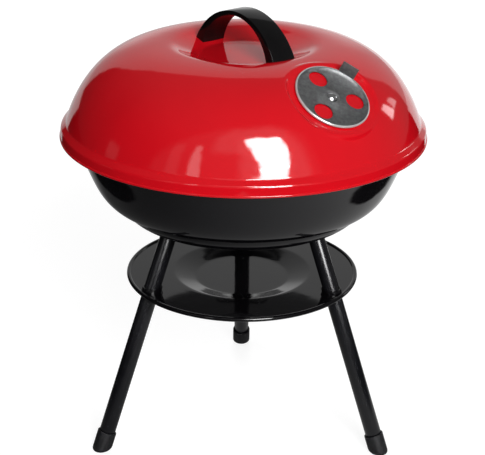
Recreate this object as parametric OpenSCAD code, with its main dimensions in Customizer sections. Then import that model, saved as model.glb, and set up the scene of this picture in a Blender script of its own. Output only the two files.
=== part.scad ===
// Kettle charcoal grill: domed lid, bowl, ash plate and three splayed tube legs.
// Millimetres, +Z up. The origin is on the kettle's axis, at the height of the ground.

/* [Lid] */
// Outer radius of the lid at the foot of its skirt
lid_r = 179; // [174:0.5:190]
// Height of the foot of the skirt above the ground
lid_rim_z = 314; // [300:0.5:330]
// Height of the skirt from its foot to the ridge
skirt_h = 9; // [6:0.5:14]
// How much the skirt flares outwards from the ridge to its foot
skirt_flare = 1.2; // [0:0.1:3]
// Radial width of the flange between the ridge and the foot of the dome
flange_w = 5.2; // [4:0.1:8]
// Rise of the flange from the ridge to the foot of the dome
flange_rise = 5; // [3:0.1:8]
// Rise of the dome from its foot to the crest round the dimple
dome_h = 75; // [55:1:95]
// Lean of the dome's flank from the vertical, at its foot
dome_lean = 18.6; // [10:0.1:30]
// Length of the flank's straight pull, which sets how full the dome is
dome_pull = 31.8; // [20:0.1:45]
// Length of the crest's level pull, which sets how flat the shoulder is
crest_pull = 62; // [40:1:75]
// Distance of the crest round the dimple from the foot of the skirt, inwards
crest_inset = 103; // [98:0.5:108]
// Thickness of the lid's sheet
lid_wall = 1.2; // [0.8:0.1:1.6]
// Radius of the rolled hem at the foot of the skirt
lid_hem_r = 1.4; // [1.2:0.1:2]

/* [Dimple in the lid] */
// Width of the lip, from the crest to the conical seat of the handle
dimple_lip_w = 14; // [12:0.5:16]
// Length of the lip's straight pull above the conical seat
lip_pull = 4; // [3:0.5:6]
// Width of the conical seat, from the lip to the flat middle of the dimple
dimple_cone_w = 20; // [18:0.5:22]
// Depth of the end of the lip below the crest
dimple_lip_depth = 3.4; // [2.5:0.1:4]
// Slope of the conical seat, rising outwards
dimple_slope = 20; // [14:0.5:24]

/* [Lid handle] */
// Direction of the handle's arch, from +X
handle_turn = -50; // [-80:1:80]
// Height of the handle's top above the crest of the lid
handle_rise = 32; // [28:0.5:45]
// Distance of the handle's outer arc from the crest, at the crest's height
handle_inset = 20.5; // [19:0.5:22]
// Thickness of the handle at the crest's height
handle_foot_t = 11; // [9:0.5:12]
// Thickness of the handle at its top
handle_top_t = 4.2; // [3.5:0.1:6]
// Width of the handle at its top
handle_top_w = 23; // [20:0.5:26]
// Width of the handle at its feet
handle_foot_w = 27; // [26:0.5:32]
// Distance of the handle screws from the flat middle, up the conical seat
handle_screw_inset = 10; // [9:0.5:11]
// Diameter of the handle screws
handle_screw_d = 4.8; // [4:0.1:5]
// Depth of the screws in the handle
handle_screw_grip = 9; // [7:0.5:10]
// Free depth of the screws' holes beyond their ends
handle_screw_gap = 0.5; // [0.3:0.1:1]
// Diameter of the handle screw's head
handle_head_d = 9; // [8:0.5:10]
// Height of the handle screw's head
handle_head_h = 2.8; // [2:0.1:3.5]
// Diameter of the washer under the head
handle_washer_d = 13; // [11:0.5:14]
// Thickness of the washer under the head
handle_washer_t = 1; // [0.8:0.1:1.5]

/* [Lid damper] */
// Direction of the damper's seat, from +X
seat_turn = -51.5; // [-80:0.5:-20]
// Distance of the seat's middle from the crest, outwards
seat_reach = 51; // [46:0.5:53]
// Depth of the seat's middle below the crest
seat_drop = 23.5; // [21:0.5:24.5]
// Tilt of the seat from level
seat_tilt = 34; // [32:0.5:36]
// Width of the flat seat that shows round the disc
seat_margin = 7; // [4:0.1:7.5]
// Height of the clear room above the seat, which opens at 45 degrees
seat_room_h = 30; // [20:1:40]
// Depth of the boss under the seat, which spreads at 45 degrees
seat_boss_h = 12; // [10:0.5:14]
// Radius of the lid damper's disc, to the middle of its rolled edge
lid_disc_r = 35; // [33:0.1:37]
// Radius of the rolled edge of the disc
disc_edge_r = 1.4; // [1:0.1:1.6]
// Width of the finger tab
tab_w = 16; // [10:0.5:20]
// Height of the finger tab
tab_h = 15; // [8:0.5:18]
// Turn of the finger tab from the disc's first air hole
tab_turn = 60; // [50:1:70]
// Turn of the disc's first air hole from straight down the slope
lid_disc_turn = 63; // [55:1:71]

/* [Air holes] */
// Diameter of the air holes in both dampers
air_hole_d = 18; // [12:0.5:19]
// How much smaller the sheets' own air holes are
air_hole_step = 1; // [0.5:0.5:2]
// Distance of the air holes from the rivet
air_hole_r = 22.5; // [21:0.5:24]
// Number of air holes
air_hole_count = 3; // [3]
// Thickness of the dampers' discs
disc_t = 1; // [0.8:0.1:1.5]
// Thickness of the spring washer that lifts a disc off its seat
spring_washer_t = 0.9; // [0.7:0.1:1.2]
// Diameter of the spring washers
spring_washer_d = 13; // [11:0.5:15]
// Diameter of the dampers' rivets
rivet_d = 5; // [4:0.1:6]
// Diameter of the rivets' domed heads
rivet_head_d = 10.6; // [9:0.1:12]
// Diameter of the rivets' closed ends
rivet_end_d = 9; // [7:0.1:10]
// Height of the rivets' domed heads
rivet_head_h = 2.6; // [1.5:0.1:3.5]
// Thickness of the rivets' closed ends
rivet_end_h = 1.4; // [1:0.1:2]

/* [Bowl] */
// Height of the bowl's flat bottom above the ground
bowl_bottom_z = 235; // [225:0.5:245]
// Distance of the bowl's rolled edge from the lid's ridge, inwards
mouth_inset = 6.6; // [6:0.1:7.4]
// Distance of the pressed ledge from the mouth, inwards
ledge_inset = 39.2; // [35:0.1:45]
// Height of the ledge above the bottom
ledge_h = 17; // [14:0.5:20]
// Width of the ledge
ledge_w = 10; // [9:0.5:12]
// Lean of the bowl's side from the vertical, below its mouth
bowl_lean = 30.8; // [27:0.1:34]
// Length of the side's straight pull below the mouth
bowl_pull = 35.4; // [30:0.1:40]
// Slope of the bowl's side where it meets the ledge, from level
bowl_toe = 31.3; // [27:0.1:36]
// Length of the side's straight pull above the ledge
toe_pull = 18.5; // [14:0.1:23]
// Lean of the short wall under the ledge, from the vertical
step_lean = 12; // [8:0.5:16]
// Height of the short wall under the ledge, above its round foot
step_h = 6; // [4:0.5:8]
// Length of the pulls that round the bowl's foot
step_pull = 5.2; // [3:0.1:6]
// Distance of the bowl's flat bottom from the ledge, inwards
flat_inset = 24; // [22:0.5:28]
// Thickness of the bowl's sheet
bowl_wall = 1.2; // [0.8:0.1:1.6]
// Radius of the rolled edge round the bowl's mouth
bowl_bead_r = 3; // [2:0.1:3.4]
// Radius of the lower damper's disc, to the middle of its rolled edge
bowl_disc_r = 35; // [32:0.1:37]
// Height of the lower damper's finger tab
bowl_tab_h = 12; // [8:0.5:16]

/* [Grates] */
// Depth of the cooking grate's seat below the bowl's rolled edge
cook_drop = 24; // [18:0.5:32]
// Distance of the cooking grate's ring from the bowl's mouth, inwards
cook_inset = 20.2; // [19.2:0.1:25]
// Diameter of the cooking grate's ring
cook_ring_d = 6; // [5:0.1:7]
// Diameter of the cooking grate's bars
cook_bar_d = 3.6; // [3:0.1:4]
// Distance between the cooking grate's bars
cook_pitch = 14.5; // [12:0.5:20]
// Width of the cooking grate's loop handles
cook_loop_w = 60; // [40:1:70]
// Height of the cooking grate's loop handles
cook_loop_h = 18; // [12:0.5:20]
// Lean of the loops, inwards from upright
cook_loop_lean = 25; // [0:1:35]
// Distance of the charcoal grate's ring from the ledge's edge, inwards
coal_inset = 5; // [3.5:0.1:6.5]
// Diameter of the charcoal grate's ring
coal_ring_d = 5; // [4:0.1:6]
// Diameter of the charcoal grate's bars
coal_bar_d = 4.4; // [3.5:0.1:4.8]
// Distance that a grate's last bar keeps from the side of its ring
bar_margin = 14; // [14:0.5:24]
// Distance between the charcoal grate's bars
coal_pitch = 22; // [16:0.5:28]
// Width of the brackets that carry the cooking grate
bracket_w = 24; // [16:0.5:30]
// Depth of the brackets below the cooking grate's seat
bracket_h = 18; // [12:0.5:22]
// Reach of the brackets under the grate's ring, inwards from its middle
bracket_reach = 5; // [3:0.5:8]
// Thickness of the brackets' steel
bracket_t = 1.6; // [1.2:0.1:2.5]

/* [Legs] */
// Distance of the sockets from the edge of the bowl's flat bottom, inwards
socket_inset = 30.3; // [26:0.1:36]
// Splay of the legs from the vertical
leg_splay = 19.7; // [17:0.1:21]
// Outside diameter of the legs
leg_d = 16; // [14:0.1:18]
// Wall of the legs
leg_wall = 1.2; // [1:0.1:2]
// Outside diameter of the foot caps
cap_d = 19; // [18.5:0.1:22]
// Length of the foot caps along the leg
cap_len = 21; // [16:0.5:28]
// Start of the leg above the ground, along its axis, inside the cap
cap_floor = 6; // [5:0.1:7]
// Length of the sockets' studs inside the legs
stud_len = 28; // [20:0.5:40]
// Length of the sockets' bare shoulders above the legs
shoulder_h = 1; // [0.5:0.1:3]
// Thickness of the sockets' flanges
flange_t = 2.6; // [2:0.1:4]
// Width of the sockets' flanges
socket_w = 22; // [20:0.5:26]
// Distance between the two screws of a socket
socket_pitch = 34; // [32:0.5:40]
// Diameter of the sockets' screws
socket_screw_d = 4; // [3:0.1:5]
// Diameter of the sockets' screw heads
socket_head_d = 7.6; // [6.5:0.1:9]
// Height of the sockets' screw heads
socket_head_h = 2.4; // [2:0.1:3]
// Length of the sockets' screws beyond their nuts
socket_screw_end = 1; // [0.5:0.1:2]
// Taper of the screw heads, on the diameter
head_taper = 2; // [1:0.1:3]
// Width of the nuts across their flats
nut_w = 7; // [6:0.1:8]
// Height of the nuts
nut_h = 3.2; // [2.5:0.1:4]

/* [Ash plate] */
// Height of the plate's upper face above the ground
plate_z = 165; // [155:0.5:175]
// Width of the plate outside the legs' axes, with its rolled rim
plate_margin = 14.2; // [12:0.1:24]
// Radius of the plate's rolled rim
plate_bead_r = 2.2; // [1.6:0.1:2.6]
// Thickness of the plate's sheet
plate_wall = 1.2; // [0.8:0.1:1.6]
// Distance of the recess from the rim of the plate, inwards
recess_inset = 48; // [36:0.5:60]
// Width of the slope of the recess
recess_slope_w = 22; // [10:0.5:30]
// Depth of the recess
recess_depth = 6; // [3:0.5:10]
// Height of the collars round the legs
collar_h = 4; // [2:0.5:6]
// Wall of the collars
collar_wall = 1.2; // [0.8:0.1:2]

/* [Clearances] */
// Running clearance round a rivet, on the radius
run_fit = 0.05; // [0.02:0.01:0.1]
// Clearance of a fixed screw or plug in its hole, on the radius
slip_fit = 0.02; // [0.01:0.01:0.05]
// Gap between pieces that rest on each other
rest_gap = 0.3; // [0.1:0.05:0.5]
// Clearance of the legs in the ash plate, on the radius
plate_fit = 0.35; // [0.2:0.05:0.6]

/* [Hidden] */
$fn = 96;

// Directions of the three legs, and of the brackets between them
left_turn = -150;
right_turn = -30;
back_turn = 90;
leg_turns = [left_turn, right_turn, back_turn];
front_bracket_turn = left_turn + 60;
right_bracket_turn = right_turn + 60;
left_bracket_turn = back_turn + 60;

// A little extra length for cutting bodies, a reach past everything, and the steps of a curve
cut = 1;
far = 400;
hole_reach = 6;
steps = 14;

ridge_r = lid_r - skirt_flare;
ridge_z = lid_rim_z + skirt_h;
dome_foot_r = ridge_r - flange_w;
dome_foot_z = ridge_z + flange_rise;
crest_r = lid_r - crest_inset;
crest_z = dome_foot_z + dome_h;
dimple_lip_r = crest_r - dimple_lip_w;
dimple_flat_r = dimple_lip_r - dimple_cone_w;
handle_outer_half = crest_r - handle_inset;
handle_inner_half = handle_outer_half - handle_foot_t;
handle_screw_r = dimple_flat_r + handle_screw_inset;
seat_r = crest_r + seat_reach;
seat_flat_r = lid_disc_r + seat_margin;
dimple_lip_z = crest_z - dimple_lip_depth;
dimple_floor_z = dimple_lip_z - (dimple_lip_r - dimple_flat_r) * tan(dimple_slope);
seat_z = crest_z - seat_drop;
mouth_r = ridge_r - mouth_inset;
ledge_r = mouth_r - ledge_inset;
ledge_z = bowl_bottom_z + ledge_h;
bowl_flat_r = ledge_r - flat_inset;
coal_r = ledge_r - coal_inset;
cook_r = mouth_r - cook_inset;
socket_r = bowl_flat_r - socket_inset;
foot_circle_r = socket_r + bowl_bottom_z * tan(leg_splay);
leg_top = (bowl_bottom_z - flange_t) / cos(leg_splay) - leg_d / 2 * tan(leg_splay) - shoulder_h;
plate_r = foot_circle_r - plate_z * tan(leg_splay) + plate_margin;
recess_outer_r = plate_r - recess_inset;
recess_inner_r = recess_outer_r - recess_slope_w;
sheet_hole_d = air_hole_d - air_hole_step;
disc_foot = spring_washer_t + run_fit;
disc_lift = disc_foot + disc_t;
steel = "dimgray";
zinc = "lightslategray";
enamel_red = "crimson";
enamel_black = [0.08, 0.08, 0.09];
plastic_black = [0.12, 0.12, 0.13];
rubber_black = [0.16, 0.16, 0.16];

// ---- Outlines -------------------------------------------------------------

// Points along a curve that leaves a towards b and reaches d from c
function bend(a, b, c, d) = [
    for (i = [0:steps])
        let (t = i / steps, s = 1 - t)
            s * s * s * a + 3 * s * s * t * b + 3 * s * t * t * c + t * t * t * d
];

// Radius of the arc with the given half span and rise
function arc_r(half, rise) = (half * half + rise * rise) / (2 * rise);

function unit(v) = v / norm(v);
function left_of(v) = [-v[1], v[0]];
function drop_first(path) = [for (i = [1:len(path) - 1]) path[i]];
function turned(path) = [for (i = [len(path) - 1:-1:0]) path[i]];

// The path moved sideways by a wall's thickness, mitred at its corners
function beside(path, wall) = [
    for (i = [0:len(path) - 1])
        let (
            before = unit(path[max(i, 1)] - path[max(i, 1) - 1]),
            after = unit(path[min(i, len(path) - 2) + 1] - path[min(i, len(path) - 2)]),
            m = left_of(before),
            n = left_of(after)
        )
            path[i] + wall * (m + n) / (1 + m * n)
];

// Outside of the lid, from the foot of the skirt to the axis
lid_path = concat(
    [[lid_r, lid_rim_z], [ridge_r, ridge_z]],
    bend([dome_foot_r, dome_foot_z],
        [dome_foot_r - dome_pull * sin(dome_lean), dome_foot_z + dome_pull * cos(dome_lean)],
        [crest_r + crest_pull, crest_z],
        [crest_r, crest_z]),
    drop_first(bend([crest_r, crest_z],
        [crest_r - (crest_r - dimple_lip_r) / 2, crest_z],
        [dimple_lip_r + lip_pull * cos(dimple_slope), dimple_lip_z + lip_pull * sin(dimple_slope)],
        [dimple_lip_r, dimple_lip_z])),
    [[dimple_flat_r, dimple_floor_z], [0, dimple_floor_z]]
);

// The flange's underside, which rests on the bowl's rolled edge
flange_turn = atan2(flange_rise, flange_w);
flange_out = [sin(flange_turn), cos(flange_turn)];
flange_seat = [ridge_r, ridge_z] * flange_out - lid_wall - rest_gap - bowl_bead_r;
mouth_z = (flange_seat - mouth_r * flange_out[0]) / flange_out[1];
cook_z = mouth_z - cook_drop;

// Outside of the bowl, from its mouth to the axis
wall_top = [mouth_r - 0.6 * bowl_bead_r, mouth_z - bowl_bead_r];
step_r = ledge_r - ledge_w;
step_foot = [step_r - step_h * tan(step_lean), ledge_z - step_h];
bowl_path = concat(
    [[mouth_r, mouth_z]],
    bend(wall_top,
        wall_top - bowl_pull * [sin(bowl_lean), cos(bowl_lean)],
        [ledge_r + toe_pull * cos(bowl_toe), ledge_z + toe_pull * sin(bowl_toe)],
        [ledge_r, ledge_z]),
    [[step_r, ledge_z]],
    bend(step_foot,
        step_foot - step_pull * [sin(step_lean), cos(step_lean)],
        [bowl_flat_r + step_pull, bowl_bottom_z],
        [bowl_flat_r, bowl_bottom_z]),
    [[0, bowl_bottom_z]]
);

// Upper face of the ash plate, from its rim to the axis
plate_path = [
    [plate_r - plate_bead_r, plate_z],
    [recess_outer_r, plate_z],
    [recess_inner_r, plate_z - recess_depth],
    [0, plate_z - recess_depth]
];

// ---- Frames ---------------------------------------------------------------

// A leg's own frame: its Z runs up the leg from the ground
module leg_frame(turn) {
    rotate([0, 0, turn])
        translate([foot_circle_r, 0, 0])
            rotate([0, -leg_splay, 0])
                children();
}

// The damper seat's frame: its Z leaves the lid at a right angle
module seat_frame() {
    rotate([0, 0, seat_turn])
        translate([seat_r, 0, seat_z])
            rotate([0, seat_tilt, 0])
                children();
}

// The two places where the handle is screwed down, their Z along the screws
module screw_frames() {
    for (side = [0, 180])
        rotate([0, 0, handle_turn + side])
            translate([handle_screw_r, 0,
                dimple_floor_z + (handle_screw_r - dimple_flat_r) * tan(dimple_slope)])
                rotate([0, -dimple_slope, 0])
                    children();
}

// A round hole through a thin sheet
module middle_hole(d) {
    translate([0, 0, -hole_reach])
        cylinder(d = d, h = 2 * hole_reach);
}

// The ring of air holes round a rivet
module ring_of_holes(d) {
    for (i = [0:air_hole_count - 1])
        rotate([0, 0, 360 / air_hole_count * i])
            translate([air_hole_r, 0, 0])
                middle_hole(d);
}

module torus(radius, wire) {
    rotate_extrude()
        translate([radius, 0])
            circle(r = wire, $fn = 32);
}

// ---- Lid ------------------------------------------------------------------

// Everything below the outside of the lid
module lid_envelope(path) {
    rotate_extrude()
        polygon(concat(path, [[0, lid_rim_z - cut], [path[0][0], lid_rim_z - cut]]));
}

// The room that the damper seat clears above the given depth
module seat_room(radius, depth) {
    seat_frame()
        translate([0, 0, -depth])
            cylinder(r1 = radius, r2 = radius + seat_room_h, h = seat_room_h);
}

// The raised rim of the seat, which meets the dome above and below the disc
module seat_boss(radius, depth) {
    seat_frame()
        translate([0, 0, -depth - seat_boss_h])
            cylinder(r1 = radius + seat_boss_h, r2 = radius, h = seat_boss_h);
}

module lid_body(path, radius, depth) {
    difference() {
        lid_envelope(path);
        seat_room(radius, depth);
    }
    seat_boss(radius, depth);
}

module lid_shell() {
    inside = beside(lid_path, lid_wall);
    color(enamel_red) {
        difference() {
            lid_body(lid_path, seat_flat_r, 0);
            lid_body(inside, seat_flat_r - lid_wall / 2, lid_wall);
            translate([0, 0, lid_rim_z - far])
                cylinder(r = far, h = far);
            seat_frame() {
                rotate([0, 0, lid_disc_turn + 180 / air_hole_count])
                    ring_of_holes(sheet_hole_d);
                middle_hole(rivet_d + 2 * slip_fit);
            }
            screw_frames()
                middle_hole(handle_screw_d + 2 * slip_fit);
        }
        translate([0, 0, lid_rim_z])
            torus(lid_r - lid_wall / 2, lid_hem_r);
    }
}

module lid_handle() {
    top_z = crest_z + handle_rise;
    outer_r = arc_r(handle_outer_half, handle_rise);
    inner_rise = handle_rise - handle_top_t;
    inner_r = arc_r(handle_inner_half, inner_rise);
    foot_z = dimple_floor_z;
    color(plastic_black)
        difference() {
            rotate([0, 0, handle_turn])
                intersection() {
                    translate([0, handle_foot_w / 2, top_z - outer_r])
                        rotate([90, 0, 0])
                            cylinder(r = outer_r, h = handle_foot_w);
                    translate([-far / 2, 0, 0])
                        rotate([90, 0, 90])
                            linear_extrude(far)
                                polygon([[-handle_foot_w / 2, foot_z], [handle_foot_w / 2, foot_z],
                                    [handle_top_w / 2, top_z + cut], [-handle_top_w / 2, top_z + cut]]);
                }
            rotate([0, 0, handle_turn])
                translate([0, far / 2, top_z - handle_top_t - inner_r])
                    rotate([90, 0, 0])
                        cylinder(r = inner_r, h = far);
            rotate_extrude()
                polygon(concat(lid_path, [[0, 0], [lid_r, 0]]));
            screw_frames()
                translate([0, 0, -cut])
                    cylinder(d = handle_screw_d + 2 * slip_fit,
                        h = handle_screw_grip + cut + handle_screw_gap);
        }
}

module handle_screws() {
    head_z = -lid_wall - rest_gap - handle_washer_t - handle_head_h;
    color(zinc)
        screw_frames() {
            translate([0, 0, head_z])
                cylinder(d1 = handle_head_d - head_taper, d2 = handle_head_d, h = handle_head_h);
            translate([0, 0, head_z])
                cylinder(d = handle_screw_d, h = handle_screw_grip - head_z);
        }
}

module handle_washers() {
    color(zinc)
        screw_frames()
            translate([0, 0, -lid_wall - rest_gap - handle_washer_t])
                difference() {
                    cylinder(d = handle_washer_d, h = handle_washer_t);
                    middle_hole(handle_screw_d + 2 * slip_fit);
                }
}

// ---- Dampers --------------------------------------------------------------

// A turning disc on its seat at Z = 0, with its air holes and finger tab above it
module damper(radius, finger_h) {
    difference() {
        union() {
            translate([0, 0, disc_foot])
                cylinder(r = radius, h = disc_t);
            translate([0, 0, disc_edge_r + rest_gap])
                torus(radius, disc_edge_r);
            rotate([0, 0, tab_turn])
                translate([radius - disc_t / 2, -tab_w / 2, disc_foot])
                    cube([disc_t, tab_w, finger_h]);
        }
        ring_of_holes(air_hole_d);
        middle_hole(rivet_d + 2 * run_fit);
    }
}

// A rivet through a seat of the given wall, with a domed head over the disc
module rivet(wall) {
    ball_r = (rivet_head_d * rivet_head_d / 4 + rivet_head_h * rivet_head_h) / (2 * rivet_head_h);
    head_z = disc_lift + run_fit;
    translate([0, 0, -wall - rivet_end_h])
        cylinder(d = rivet_d, h = wall + rivet_end_h + head_z + cut);
    translate([0, 0, -wall - rivet_end_h])
        cylinder(d = rivet_end_d, h = rivet_end_h);
    intersection() {
        translate([0, 0, head_z + rivet_head_h - ball_r])
            sphere(r = ball_r);
        translate([0, 0, head_z])
            cylinder(d = 2 * rivet_head_d, h = 2 * rivet_head_h);
    }
}

module spring_washer() {
    difference() {
        cylinder(d = spring_washer_d, h = spring_washer_t);
        middle_hole(rivet_d + 2 * run_fit);
    }
}

// The lower damper hangs under the bowl, its Z downwards
module bowl_damper_frame() {
    translate([0, 0, bowl_bottom_z])
        rotate([180, 0, 0])
            children();
}

module lid_damper() {
    color(zinc)
        seat_frame()
            rotate([0, 0, lid_disc_turn])
                damper(lid_disc_r, tab_h);
}

module lid_damper_rivet() {
    color(zinc)
        seat_frame()
            rivet(lid_wall);
}

module lid_damper_washer() {
    color(zinc)
        seat_frame()
            spring_washer();
}

module bowl_damper() {
    color(zinc)
        bowl_damper_frame()
            damper(bowl_disc_r, bowl_tab_h);
}

module bowl_damper_rivet() {
    color(zinc)
        bowl_damper_frame()
            rivet(bowl_wall);
}

module bowl_damper_washer() {
    color(zinc)
        bowl_damper_frame()
            spring_washer();
}

// ---- Bowl and grates ------------------------------------------------------

// Places of the six socket screws, on the bowl's bottom
module socket_screw_places() {
    for (turn = leg_turns, side = [-1, 1])
        rotate([0, 0, turn])
            translate([socket_r, side * socket_pitch / 2, bowl_bottom_z])
                children();
}

module bowl_shell() {
    color(enamel_black)
        difference() {
            union() {
                rotate_extrude()
                    polygon(concat(bowl_path, turned(beside(bowl_path, -bowl_wall))));
                translate([0, 0, mouth_z])
                    torus(mouth_r, bowl_bead_r);
            }
            bowl_damper_frame() {
                rotate([0, 0, 180 / air_hole_count])
                    ring_of_holes(sheet_hole_d);
                middle_hole(rivet_d + 2 * slip_fit);
            }
            socket_screw_places()
                middle_hole(socket_screw_d + 2 * slip_fit);
        }
}

// Bars across a round grate, as long as the ring allows; the last stays clear of the ring's side
module bars(radius, pitch, d) {
    count = floor((radius - bar_margin) / pitch);
    for (i = [-count:count])
        let (half = sqrt(radius * radius - pow(i * pitch, 2)))
            translate([i * pitch, half, 0])
                rotate([90, 0, 0])
                    cylinder(d = d, h = 2 * half, $fn = 32);
}

module charcoal_grate() {
    color(steel)
        translate([0, 0, ledge_z + bowl_wall + rest_gap + coal_ring_d / 2]) {
            torus(coal_r, coal_ring_d / 2);
            bars(coal_r, coal_pitch, coal_bar_d);
        }
}

// A bowed loop that stands on the ring and leans inwards, to lift the grate by
module lift_loop() {
    bow_r = arc_r(cook_loop_w / 2, cook_loop_h);
    foot_r = sqrt(cook_r * cook_r - cook_loop_w * cook_loop_w / 4);
    intersection() {
        translate([foot_r, 0, 0])
            rotate([0, -cook_loop_lean, 0])
                translate([0, 0, cook_loop_h - bow_r])
                    rotate([0, 90, 0])
                        torus(bow_r, cook_bar_d / 2);
        cylinder(r = far, h = far);
    }
}

module cooking_grate() {
    color("silver")
        translate([0, 0, cook_z + rest_gap + cook_ring_d / 2]) {
            torus(cook_r, cook_ring_d / 2);
            bars(cook_r, cook_pitch, cook_bar_d);
            for (turn = [0, 180])
                rotate([0, 0, turn])
                    lift_loop();
        }
}

// The room inside the bowl, kept clear of its wall
module bowl_room(gap) {
    path = beside(bowl_path, -bowl_wall - gap);
    rotate_extrude()
        polygon(concat(path, [[0, mouth_z]]));
}

// A bent bracket, spot-welded to the wall, with its shelf level
module grate_bracket(turn) {
    shelf_r = cook_r - bracket_reach;
    color(steel)
        rotate([0, 0, turn])
            intersection() {
                translate([shelf_r, -bracket_w / 2, cook_z - bracket_h])
                    cube([far, bracket_w, bracket_h]);
                difference() {
                    bowl_room(0);
                    difference() {
                        bowl_room(bracket_t);
                        translate([0, 0, cook_z - bracket_t])
                            cylinder(r = far, h = bracket_t + cut);
                    }
                }
            }
}

// ---- Legs -----------------------------------------------------------------

// A socket: a flange under the bowl, a shoulder that carries on the leg, and a stud inside it
module leg_socket(turn) {
    color(enamel_black)
        difference() {
            union() {
                rotate([0, 0, turn])
                    translate([socket_r, 0, bowl_bottom_z - flange_t]) {
                        translate([-socket_w / 2, -socket_pitch / 2, 0])
                            cube([socket_w, socket_pitch, flange_t]);
                        for (side = [-1, 1])
                            translate([0, side * socket_pitch / 2, 0])
                                cylinder(d = socket_w, h = flange_t);
                    }
                intersection() {
                    leg_frame(turn) {
                        translate([0, 0, leg_top])
                            cylinder(d = leg_d, h = 3 * leg_d);
                        translate([0, 0, leg_top - stud_len])
                            cylinder(d = leg_d - 2 * leg_wall - 2 * slip_fit, h = stud_len + cut);
                    }
                    cylinder(r = far, h = bowl_bottom_z - flange_t / 2);
                }
            }
            socket_screw_places()
                middle_hole(socket_screw_d + 2 * slip_fit);
        }
}

module socket_screws() {
    color(zinc)
        socket_screw_places() {
            translate([0, 0, -flange_t - socket_head_h])
                cylinder(d1 = socket_head_d - head_taper, d2 = socket_head_d, h = socket_head_h);
            translate([0, 0, -flange_t - socket_head_h])
                cylinder(d = socket_screw_d,
                    h = socket_head_h + flange_t + bowl_wall + nut_h + socket_screw_end);
        }
}

module socket_nuts() {
    color(zinc)
        socket_screw_places()
            translate([0, 0, bowl_wall])
                difference() {
                    cylinder(d = nut_w / cos(30), h = nut_h, $fn = 6);
                    middle_hole(socket_screw_d + 2 * slip_fit);
                }
}

module leg(turn) {
    color(enamel_black)
        leg_frame(turn)
            difference() {
                translate([0, 0, cap_floor])
                    cylinder(d = leg_d, h = leg_top - cap_floor);
                translate([0, 0, cap_floor - cut])
                    cylinder(d = leg_d - 2 * leg_wall, h = leg_top - cap_floor + 2 * cut);
            }
}

// A rubber cap, moulded with a level sole for the splayed leg
module foot_cap(turn) {
    color(rubber_black)
        difference() {
            leg_frame(turn)
                translate([0, 0, -cap_d])
                    cylinder(d = cap_d, h = cap_d + cap_len);
            leg_frame(turn)
                translate([0, 0, cap_floor])
                    cylinder(d = leg_d + 2 * slip_fit, h = cap_len);
            translate([0, 0, -far])
                cylinder(r = far, h = far);
        }
}

// ---- Ash plate ------------------------------------------------------------

module ash_plate() {
    color(enamel_black)
        difference() {
            union() {
                rotate_extrude()
                    polygon(concat(plate_path, turned([for (p = plate_path) p - [0, plate_wall]])));
                translate([0, 0, plate_z - plate_wall / 2])
                    torus(plate_r - plate_bead_r, plate_bead_r);
                intersection() {
                    for (turn = leg_turns)
                        leg_frame(turn)
                            cylinder(d = leg_d + 2 * plate_fit + 2 * collar_wall, h = far);
                    translate([0, 0, plate_z - plate_wall])
                        cylinder(r = plate_r, h = plate_wall + collar_h);
                }
            }
            for (turn = leg_turns)
                leg_frame(turn)
                    cylinder(d = leg_d + 2 * plate_fit, h = far);
        }
}

// ---- Assembly -------------------------------------------------------------

lid_shell();
lid_handle();
handle_screws();
handle_washers();
lid_damper();
lid_damper_rivet();
lid_damper_washer();
bowl_shell();
bowl_damper();
bowl_damper_rivet();
bowl_damper_washer();
charcoal_grate();
cooking_grate();
grate_bracket(front_bracket_turn);  // grate_bracket_front
grate_bracket(right_bracket_turn);  // grate_bracket_right
grate_bracket(left_bracket_turn);  // grate_bracket_left
leg_socket(left_turn);  // leg_socket_left
leg_socket(right_turn);  // leg_socket_right
leg_socket(back_turn);  // leg_socket_back
socket_screws();
socket_nuts();
leg(left_turn);  // leg_left
leg(right_turn);  // leg_right
leg(back_turn);  // leg_back
foot_cap(left_turn);  // foot_cap_left
foot_cap(right_turn);  // foot_cap_right
foot_cap(back_turn);  // foot_cap_back
ash_plate();
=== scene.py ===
import math

import bpy
from mathutils import Matrix, Vector


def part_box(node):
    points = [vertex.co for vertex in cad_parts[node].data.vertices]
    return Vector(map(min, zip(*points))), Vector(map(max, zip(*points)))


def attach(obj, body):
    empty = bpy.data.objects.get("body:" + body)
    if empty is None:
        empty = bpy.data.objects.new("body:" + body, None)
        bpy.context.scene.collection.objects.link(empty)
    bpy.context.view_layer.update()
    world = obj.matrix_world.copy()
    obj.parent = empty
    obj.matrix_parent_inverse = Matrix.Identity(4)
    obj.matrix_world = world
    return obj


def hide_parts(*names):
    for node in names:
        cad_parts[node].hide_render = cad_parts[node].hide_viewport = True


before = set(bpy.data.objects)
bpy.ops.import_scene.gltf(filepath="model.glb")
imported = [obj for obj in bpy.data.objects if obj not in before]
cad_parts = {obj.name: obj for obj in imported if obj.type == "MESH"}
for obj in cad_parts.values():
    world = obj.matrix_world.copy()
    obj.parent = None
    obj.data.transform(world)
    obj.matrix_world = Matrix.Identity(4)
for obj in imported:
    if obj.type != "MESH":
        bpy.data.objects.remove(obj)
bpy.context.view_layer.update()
bpy.ops.object.select_all(action="DESELECT")


# ---- Camera ----------------------------------------------------------------
# A long lens about 1.4 m in front of the grill and well above its lid, looking down on it with the
# slight lean of a camera held by hand.
camera_place = Vector((0.0, -1.361, 0.780))
camera_down = math.radians(22.45)
camera_lean = math.radians(0.6)
bpy.ops.object.camera_add(location=camera_place)
camera = bpy.context.object
camera.name = "camera"
camera.rotation_euler = (
    Matrix.Rotation(math.pi / 2 - camera_down, 3, "X")
    @ Matrix.Rotation(camera_lean, 3, "Z")
).to_euler()
camera.data.lens = 108.7
camera.data.sensor_width = 36.0
camera.data.shift_y = -0.0124
bpy.context.scene.camera = camera
bpy.context.scene.view_settings.view_transform = "Standard"


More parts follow.
